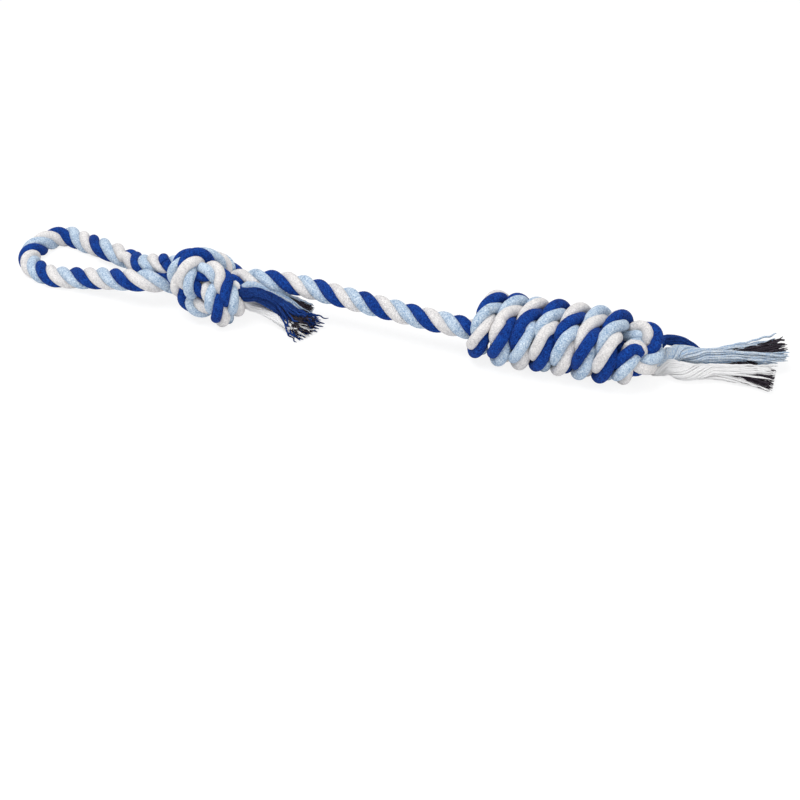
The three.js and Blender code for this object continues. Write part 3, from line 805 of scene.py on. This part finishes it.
@dataclass
class FeltGroup:
    """The node group that all cotton shares: mottled dye, yarn lines and a felted surface."""

    yarn_lines: float = 16.0
    slant_per_metre: float = -29.0
    wobble: float = 0.9
    speckle_share: float = 0.8
    mottle_edges: tuple[float, float] = (0.37, 0.63)
    line_height: float = 0.35
    tree: Tree = field(init=False)
    place: Socket = field(init=False)

    def noise(self, scale: float, detail: float, rough: float) -> Socket:
        """A noise on the object's own coordinates."""
        inputs = {"Vector": self.place, "Scale": scale, "Detail": detail, "Roughness": rough}
        return add_node(self.tree, "TexNoise", inputs)["Fac"]

    def maths(self, kind: str, *values: Union[float, Socket], clamp: bool = False) -> Socket:
        """A sum or another operation on sockets and numbers."""
        inputs = dict(enumerate(values))
        return add_node(self.tree, "Math", inputs, operation=kind, use_clamp=clamp)["Value"]

    def mixed(self, first: Socket, second: Socket, share: float) -> Socket:
        """The given share of the first value and the rest of the second."""
        parts = self.maths("MULTIPLY", first, share), self.maths("MULTIPLY", second, 1.0 - share)
        return self.maths("ADD", *parts)

    def build(self) -> Tree:
        """Makes the group.

        Returns:
            The group, which gives a colour and a height.
        """
        tree = self.tree = bpy.data.node_groups.new("felted_cotton", "ShaderNodeTree")
        for name, way, kind in (
            ("Dye", "INPUT", "Color"), ("Pale", "INPUT", "Color"), ("Mottle", "INPUT", "Float"),
            ("Color", "OUTPUT", "Color"), ("Height", "OUTPUT", "Float"),
        ):
            tree.interface.new_socket(name=name, in_out=way, socket_type=f"NodeSocket{kind}")
        entry = tree.nodes.new("NodeGroupInput").outputs
        self.place = add_node(tree, "TexCoord", {})["Object"]
        uv = add_node(tree, "UVMap", {}, uv_map="strand")["UV"]
        split = add_node(tree, "SeparateXYZ", {"Vector": uv})
        tone = add_node(tree, "Attribute", {}, attribute_name="tone")["Fac"]
        add, times = partial(self.maths, "ADD"), partial(self.maths, "MULTIPLY")
        # yarn lines run along the rope on the outside of a strand, so across it they slant
        round_it = add(split["Y"], times(split["X"], self.slant_per_metre))
        wobble = times(self.noise(420.0, 2.0, 0.5), self.wobble)
        angle = times(add(times(round_it, self.yarn_lines), wobble), 2 * math.pi)
        lines = add(times(self.maths("SINE", angle), 0.5), 0.5)
        height = self.mixed(lines, self.noise(850.0, 4.0, 0.7), self.line_height)
        speckle, broad = self.noise(900.0, 3.0, 0.75), self.noise(160.0, 3.0, 0.6)
        mottle = {"Value": self.mixed(speckle, broad, self.speckle_share)}
        mottle.update(zip(("From Min", "From Max"), self.mottle_edges))
        spread = add_node(tree, "MapRange", mottle)["Result"]
        own = times(self.maths("SUBTRACT", tone, 0.5), 0.5)
        share = add(times(spread, entry["Mottle"]), own, clamp=True)
        dyes = {"Factor": share, "A": entry["Dye"], "B": entry["Pale"]}
        blend = add_node(tree, "Mix", dyes, data_type="RGBA")["Result"]
        leave = tree.nodes.new("NodeGroupOutput")
        feed(tree, leave, {"Color": blend, "Height": height})
        return tree


@dataclass(frozen=True)
class Cotton:
    """A dyed cotton: its colour, the paler one that mottles it, and how strongly."""

    name: str
    dye: str
    pale: str
    mottle: float = 1.0
    sheen: float = 0.03
    bump: float = 0.8

    def build(self, group: Tree) -> Material:
        """Makes the material.

        Args:
            group: The cotton's shared node group.

        Returns:
            The material.
        """
        made = bpy.data.materials.new(self.name)
        made.use_nodes = True
        tree = made.node_tree
        dyes = {"Dye": colour(self.dye), "Pale": colour(self.pale), "Mottle": self.mottle}
        felt = add_node(tree, "Group", dyes, node_tree=group)
        height = {"Height": felt["Height"], "Strength": self.bump, "Distance": 0.001}
        bump = add_node(tree, "Bump", height)
        feed(tree, tree.nodes["Principled BSDF"], {
            "Base Color": felt["Color"], "Normal": bump["Normal"], "Roughness": 0.95,
            "Specular IOR Level": 0.07, "Sheen Weight": self.sheen, "Sheen Roughness": 0.6,
        })
        return made


COTTONS = (
    Cotton("blue_cotton", "#021552", "#1a4ea8"),
    Cotton("white_cotton", "#f1eeec", "#c3c1c2"),
    Cotton("light_blue_cotton", "#7797ba", "#dae6f0"),
)
# Lighter copies of the strands' cottons for the loose yarns: painted light that offsets the shade
# the yarns cast on one another
YARN_COTTONS = (
    Cotton("blue_yarn", "#04205f", "#2c60be", 0.8),
    Cotton("white_yarn", "#ffffff", "#f4f3f4", 0.8, sheen=0.62, bump=0.6),
    Cotton("light_blue_yarn", "#90bae4", "#f2f9ff", 0.9, sheen=0.4, bump=0.7),
)
# Near-black cotton for the dark yarns that paint the shade inside the opened ends
SHADE_YARN_COTTONS = (Cotton("shade_yarn_cotton", "#241f28", "#554c58"),)


@dataclass(frozen=True)
class Finishes:
    """The toy's materials, the strands' and yarns' in the strands' order, and the painted-shade
    yarns'.
    """

    strands: list[Material]
    yarns: list[Material]
    # the near-black cotton of the dark yarns that paint shade inside the opened ends
    core: list[Material]


# The pieces


@dataclass
class RopeStretch:
    """The laid rope over one stretch, which stands for the plain solid there. A stretch may
    be given a free rope's diameter, which changes nothing that it makes."""

    rope: LaidRope
    finishes: Finishes
    node: str
    free_diameter: Optional[float] = None

    def build(self) -> None:
        """Makes the stretch's three strands as one piece."""
        first, last = self.rope.spans[self.node]
        low = max(first, TAIL_UNLAID)
        high = min(last, len(self.rope.line) - 1 - TASSEL_UNLAID)
        strands = Piece(f"{self.node}_strands", self.node, "cotton_rope", self.finishes.strands)
        for strand in Strand:
            tube = tube_mesh(*self.rope.strand_line(strand, low, high), STRAND_SIDES)
            strands.parts.append((tube, strand.value, 0.5))
        made = strands.build()
        if self.free_diameter is None:
            return


@dataclass
class YarnBundle:
    """A strand that is opened into its yarns, with dark yarns inside them that paint its inner
    shade.

    The route is given from the rope's end as shares of the bundle's length along and across
    the toy, and as millimetres above the floor. The radii are spread evenly over the route.
    An opening is the angle at which the yarns part, 90 for upwards and 180 for the viewer.
    """

    end: str
    strand: Strand
    route: list[Triple]
    radii: tuple[float, ...]
    seed: int
    yarns: int
    tones: tuple[float, float] = (0.1, 0.9)
    flare: float = 1.0
    twist: float = -1.3
    opening: Optional[float] = None
    half_gap: float = 45.0
    opens_from: float = 0.5
    # Where the dark yarns that paint the opening's shade begin, how many they are and how far aside
    # they lie
    shade_from: float = 0.45
    core_yarns: int = 30
    shade_aside: tuple[float, float] = (0.0, 0.0)
    ragged: float = 0.06
    strays: int = 5
    stray_reach: float = 4.0

    def lines(
        self, middle: Array, radius: Array, rng: np.random.Generator, *,
        count: int, frayed: float, gap: float, ragged: float,
        aside: tuple[float, float] = (0.0, 0.0),
    ) -> list[Array]:
        """Yarns round a middle line.

        Args:
            middle: The bundle's line.
            radius: Its radius at each point.
            rng: The source of chance.
            count: How many yarns.
            frayed: How far their tips go astray.
            gap: The half angle that they leave open at the tip.
            ragged: How unevenly they end, as a share of the line.
            aside: How far they come to lie across and up.

        Returns:
            One line for each yarn.
        """
        tangent = tangents(middle)
        across = unit(np.cross((0, 0, 1.0), tangent))
        up = np.cross(tangent, across)
        t = np.linspace(0, 1, len(middle))
        late = gently(np.clip((t - self.opens_from) / (1 - self.opens_from), 0, 1))
        wound = t if self.opening is None else np.minimum(t, self.opens_from)
        side = math.radians(90.0 if self.opening is None else self.opening)
        turned = 2 * math.pi * self.twist * wound * (1 - 0.3 * wound)
        shut = gap * late
        wide = 1 + (self.flare - 1) * late
        made = []
        for k in range(count):
            angle = GOLDEN_ANGLE * k + rng.normal(0, 0.12) + turned
            away = np.angle(np.exp(1j * (angle - side)))
            angle = side + np.sign(away) * (shut + (math.pi - shut) * abs(away) / math.pi)
            waves = rng.uniform(5, 11)
            crimp = 0.4 * np.sin(2 * math.pi * (t * waves + rng.uniform()))
            sway = 0.4 * np.sin(2 * math.pi * (t * waves * 0.7 + rng.uniform()))
            drift = np.clip(rng.normal(0, 1, 2), -1.5, 1.5) * frayed
            out = radius * math.sqrt((k + 0.6) / count) + crimp * (0.3 + late)
            sideways = wide * out * np.cos(angle) + (drift[0] + aside[0] + sway) * late
            upward = YARN_FLATNESS * out * np.sin(angle) + (0.6 * drift[1] + aside[1]) * late
            line = middle + across * sideways[:, None] + up * upward[:, None]
            keep = int(len(middle) * (1 - abs(rng.normal(0, ragged))))
            line = line[: max(8, keep)]
            line[:, 2] = np.maximum(line[:, 2], YARN_RADIUS + 0.1)
            made.append(line)
        return made

    def build(self, start: Array, heading: Array, end: Array, finishes: Finishes) -> None:
        """Makes the strand's yarns, and the dark ones that paint its shade where it opens and at
        its tip.

        Args:
            start: Where the laid strand ends.
            heading: The direction in which it ends.
            end: The rope's end, from which the route is given.
            finishes: The toy's materials.
        """
        rng = np.random.default_rng(self.seed)
        long = END_LENGTHS[self.end]
        places = [start - heading * 2.0, start + heading * 1.0]
        places += [(end[0] + x * long, end[1] + y * long, z) for x, y, z in self.route]
        middle = routed(places, YARN_STEP)
        t = np.linspace(0, 1, len(middle))
        radius = np.interp(t, np.linspace(0, 1, len(self.radii)), self.radii)
        middle[:, 2] = np.maximum(middle[:, 2], YARN_RADIUS + 0.6 * radius)
        gap = 0.0 if self.opening is None else math.radians(self.half_gap)
        groups = ((self.yarns, 1.3, gap), (self.strays, self.stray_reach, 0.4 * gap))
        yarns = []
        for count, frayed, opened in groups:
            yarns += self.lines(
                middle, radius - YARN_RADIUS, rng, count=count, frayed=frayed, gap=opened,
                ragged=self.ragged,
            )
        dye = self.strand.name.lower()
        node = f"{self.end}_{dye}"
        cover = Piece(f"{node}_yarns", node, f"cotton_{dye}", [finishes.yarns[self.strand.value]])
        for line in yarns:
            radii = np.full(len(line), YARN_RADIUS * rng.uniform(0.8, 1.15))
            radii[-3:] *= (0.85, 0.7, 0.4)
            outward = line - middle[: len(line)] + (0, 0, 1e-3)
            tube = tube_mesh(line, outward, radii, YARN_SIDES)
            cover.parts.append((tube, 0, rng.uniform(*self.tones)))
        cover.build()
        # Dark yarns in the bundle's middle, moved towards the opening: painted shade of its inside,
        # not a dyed core
        core = Piece(f"{node}_core_yarns", f"{node}_core", "core_yarn", finishes.core)
        first = int(self.shade_from * len(middle))
        line, size = middle[first:], radius[first:]
        aside = self.shade_aside
        if self.opening is not None:
            side = math.radians(self.opening)
            aside = (0.3 * size[-1] * math.cos(side), 0.3 * size[-1] * math.sin(side))
        growing = np.linspace(0.45, 0.78, len(size))
        for yarn in self.lines(
            line, growing * size, rng, count=self.core_yarns, frayed=1.0, gap=0.0,
            ragged=SHADE_YARN_RAGGED * self.ragged, aside=aside,
        ):
            outward = yarn - line[: len(yarn)] + (0, 0, 1e-3)
            radii = np.full(len(yarn), SHADE_YARN_RADIUS)
            radii[-2:] *= (0.8, 0.5)
            tube = tube_mesh(yarn, outward, radii, SHADE_YARN_SIDES)
            core.parts.append((tube, 0, rng.uniform(0.2, 0.8)))
        core.build()


# The tassel's blue arches up behind and goes in under light blue, and its white lies in
# front. The tail's blue fans out in front, light blue lies on top and white beneath
BUNDLES = (
    YarnBundle("tail", B, [
        (-0.1, -0.06, 23.0), (0.03, 0.0, 22.5), (0.2, 0.01, 20.0), (0.42, 0.02, 13.5),
        (0.66, -0.06, 7.0), (0.93, -0.2, 4.0),
    ], (4.2, 6.2, 6.4, 6.8, 8.4, 10.0), seed=21, yarns=96, twist=-0.3, flare=1.7, opening=130.0,
        half_gap=50.0, opens_from=0.48, shade_from=0.35, core_yarns=90, ragged=0.09, strays=18,
        stray_reach=7.0),
    YarnBundle("tail", L, [
        (-0.1, 0.05, 27.0), (0.05, 0.1, 26.0), (0.25, 0.14, 22.0), (0.5, 0.18, 16.0),
        (0.84, 0.16, 9.0),
    ], (3.4, 3.8, 3.8, 4.4, 5.4), seed=22, yarns=44, tones=(0.1, 1.0), twist=-0.6,
        opening=90.0),
    YarnBundle("tail", W, [
        (-0.1, 0.0, 13.0), (0.05, 0.02, 10.0), (0.26, -0.03, 8.5), (0.56, -0.13, 5.5),
        (0.9, -0.28, 3.5),
    ], (3.8, 4.4, 4.6, 5.2, 6.8), seed=23, yarns=60, tones=(0.0, 0.8), twist=-0.5, flare=1.6,
        opens_from=0.55, core_yarns=20, ragged=0.1, strays=14, stray_reach=5.0),
    YarnBundle("tassel", B, [
        (-0.02, 0.27, 12.0), (0.08, 0.34, 12.0), (0.18, 0.37, 10.5), (0.28, 0.35, 8.0),
        (0.4, 0.3, 5.5), (0.65, 0.3, 4.5), (0.95, 0.38, 4.5),
    ], (3.6, 4.4, 4.8, 4.6, 4.6), seed=11, yarns=48, twist=-0.9, opens_from=0.4, shade_from=0.3,
        shade_aside=(-11.5, 3.5), ragged=0.035, strays=0),
    YarnBundle("tassel", L, [
        (0.16, 0.18, 9.0), (0.34, 0.18, 9.5), (0.52, 0.21, 10.0), (0.7, 0.28, 11.0),
        (0.88, 0.32, 12.0), (1.05, 0.39, 12.5), (1.22, 0.48, 12.5),
    ], (4.6, 7.0, 7.0, 6.6, 6.6, 7.8, 9.4, 10.8), seed=12, yarns=92, tones=(0.1, 1.0),
        twist=-2.1, opening=100.0, half_gap=50.0, opens_from=0.44, shade_from=0.4,
        core_yarns=70, strays=16, stray_reach=4.5),
    YarnBundle("tassel", W, [
        (0.12, -0.05, 7.0), (0.24, -0.09, 6.5), (0.37, -0.05, 6.5), (0.55, 0.02, 6.0),
        (0.73, 0.04, 6.0), (0.91, 0.05, 6.0), (1.17, 0.03, 5.5),
    ], (4.2, 6.6, 6.8, 6.4, 6.6, 7.8, 8.8, 9.6), seed=13, yarns=88, tones=(0.0, 0.9),
        twist=-1.9, opening=165.0, half_gap=44.0, core_yarns=60, strays=14, stray_reach=4.5),
)


@dataclass
class RopeEnd:
    """An opened end of the rope: three bundles that go on from its laid strands."""

    rope: LaidRope
    finishes: Finishes
    name: str

    def build(self) -> None:
        """Makes the end's bundles."""
        is_first = self.name == "tail"
        last = len(self.rope.line) - 1
        edge, low = (0, TAIL_UNLAID) if is_first else (last, last - TASSEL_UNLAID - 3)
        for bundle in [bundle for bundle in BUNDLES if bundle.end == self.name]:
            points, _, _ = self.rope.strand_line(bundle.strand, low, low + 3)
            start, before = (points[0], points[-1]) if is_first else (points[-1], points[0])
            heading = (start - before) / np.linalg.norm(start - before)
            bundle.build(start, heading, self.rope.line[edge], self.finishes)


# Table, lights and camera


def split_by_camera(tree: Tree, seen: Socket, unseen: Socket, share: float) -> Socket:
    """Mixes two shaders so that what the camera sees differs from what lights the toy.

    Args:
        tree: The nodes that they stand among.
        seen: The shader for the camera.
        unseen: The shader for all other light.
        share: How much of the first one the camera sees.

    Returns:
        The mixed shader.
    """
    rays = add_node(tree, "LightPath", {})["Is Camera Ray"]
    part = add_node(tree, "Math", {0: rays, 1: share}, operation="MULTIPLY")["Value"]
    return add_node(tree, "MixShader", {"Fac": part, 1: unseen, 2: seen})["Shader"]


@dataclass
class Studio:
    """The white table, the soft lights and the camera at the photograph's viewing angle.

    Places are in metres and angles in degrees. The barrel's place is counted from the camera,
    across its view and away from it. A lamp has a name, a place, a size and a power.
    """

    barrel_middle: Array
    camera_height: float = 0.490
    pitch: float = 37.0
    toy_yaw: float = -16.6
    barrel_place: tuple[float, float] = (0.1095, 0.6947)
    lens: float = 54.0
    table_size: float = 12.0
    table_glow: float = 1.06
    glow_share: float = 0.8
    sky_light: float = 0.62
    lamps: tuple[tuple[str, Triple, float, float], ...] = (
        ("key", (-0.35, -0.25, 1.3), 0.9, 13.0), ("fill", (0.9, -0.9, 0.9), 1.2, 5.0),
    )

    def place_camera(self) -> Array:
        """Puts the camera where the photograph was taken from.

        Returns:
            The camera's place.
        """
        yaw = math.radians(self.toy_yaw)
        c, s = math.cos(yaw), math.sin(yaw)
        x, y = self.barrel_middle[:2] - np.array([[c, s], [-s, c]]) @ self.barrel_place
        data = bpy.data.cameras.new("camera")
        data.lens = self.lens
        data.sensor_width = 36.0
        data.clip_start = 0.01
        camera = new_object("camera", data)
        camera.location = (x, y, self.camera_height)
        camera.rotation_euler = (math.radians(90 - self.pitch), 0.0, -yaw)
        bpy.context.scene.camera = camera
        return np.array(camera.location)

    def lay_table(self) -> None:
        """Lays the table: white to the camera, and it keeps the toy's soft shadow."""
        half = self.table_size / 2
        mesh = bpy.data.meshes.new("table")
        corners = [(-half, -half, 0), (half, -half, 0), (half, half, 0), (-half, half, 0)]
        mesh.from_pydata(corners, [], [(0, 1, 2, 3)])
        table = new_object("table", mesh)
        made = bpy.data.materials.new("white_table")
        made.use_nodes = True
        tree = made.node_tree
        shader = tree.nodes["Principled BSDF"]
        feed(tree, shader, {
            "Base Color": (0.86, 0.865, 0.875, 1), "Roughness": 0.9, "Specular IOR Level": 0.1,
        })
        light = {"Color": (1, 1, 1, 1), "Strength": self.table_glow}
        glow = add_node(tree, "Emission", light)
        mixed = split_by_camera(tree, glow[0], shader.outputs[0], self.glow_share)
        feed(tree, tree.nodes["Material Output"], {"Surface": mixed})
        mesh.materials.append(made)

    def light(self) -> None:
        """Sets the sky, which the camera sees as plain white, and hangs the lamps."""
        world = bpy.data.worlds.new("sky")
        bpy.context.scene.world = world
        world.use_nodes = True
        tree = world.node_tree
        sky = tree.nodes["Background"]
        feed(tree, sky, {"Color": (1, 1, 1, 1), "Strength": self.sky_light})
        white = {"Color": (1, 1, 1, 1), "Strength": 1.0}
        seen = add_node(tree, "Background", white)
        mixed = split_by_camera(tree, seen[0], sky.outputs[0], 1.0)
        feed(tree, tree.nodes["World Output"], {"Surface": mixed})
        for name, place, size, power in self.lamps:
            data = bpy.data.lights.new(name, "AREA")
            data.shape = "DISK"
            data.size = size
            data.energy = power
            lamp = new_object(name, data)
            lamp.location = place
            lamp.rotation_euler = (-Vector(place)).to_track_quat("-Z", "Y").to_euler()

    def build(self) -> None:
        """Sets the table, the lights and the picture's plain tone."""
        self.lay_table()
        self.light()
        bpy.context.scene.view_settings.view_transform = "Standard"


def main() -> None:
    """Builds the toy piece by piece."""
    logging.basicConfig(level=logging.INFO, format="%(name)s: %(message)s")
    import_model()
    route = RopeRoute()
    route.build()
    low, high = (np.array(corner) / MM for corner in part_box("barrel_winding"))
    winding = route.stretches["barrel_winding"]
    origin = (low + high) / 2 - (winding.min(0) + winding.max(0)) / 2
    origin[2] = 0.0
    studio = Studio((origin + np.array([BARREL_LENGTH / 2, 0, 0])) * MM)
    rope = LaidRope(route, origin, studio.place_camera() / MM)
    group = FeltGroup().build()
    cottons = (COTTONS, YARN_COTTONS, SHADE_YARN_COTTONS)
    finishes = Finishes(*([cotton.build(group) for cotton in dyed] for dyed in cottons))
    free = {"handle_loop": LOOP_ROPE_DIAMETER, "main_rope": ROPE_DIAMETER}
    for node in sorted(route.stretches, key=lambda name: name not in free):
        RopeStretch(rope, finishes, node, free.get(node)).build()
    for name in ("tail", "tassel"):
        RopeEnd(rope, finishes, name).build()
    studio.build()
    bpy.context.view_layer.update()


if __name__ == "__main__":
    main()
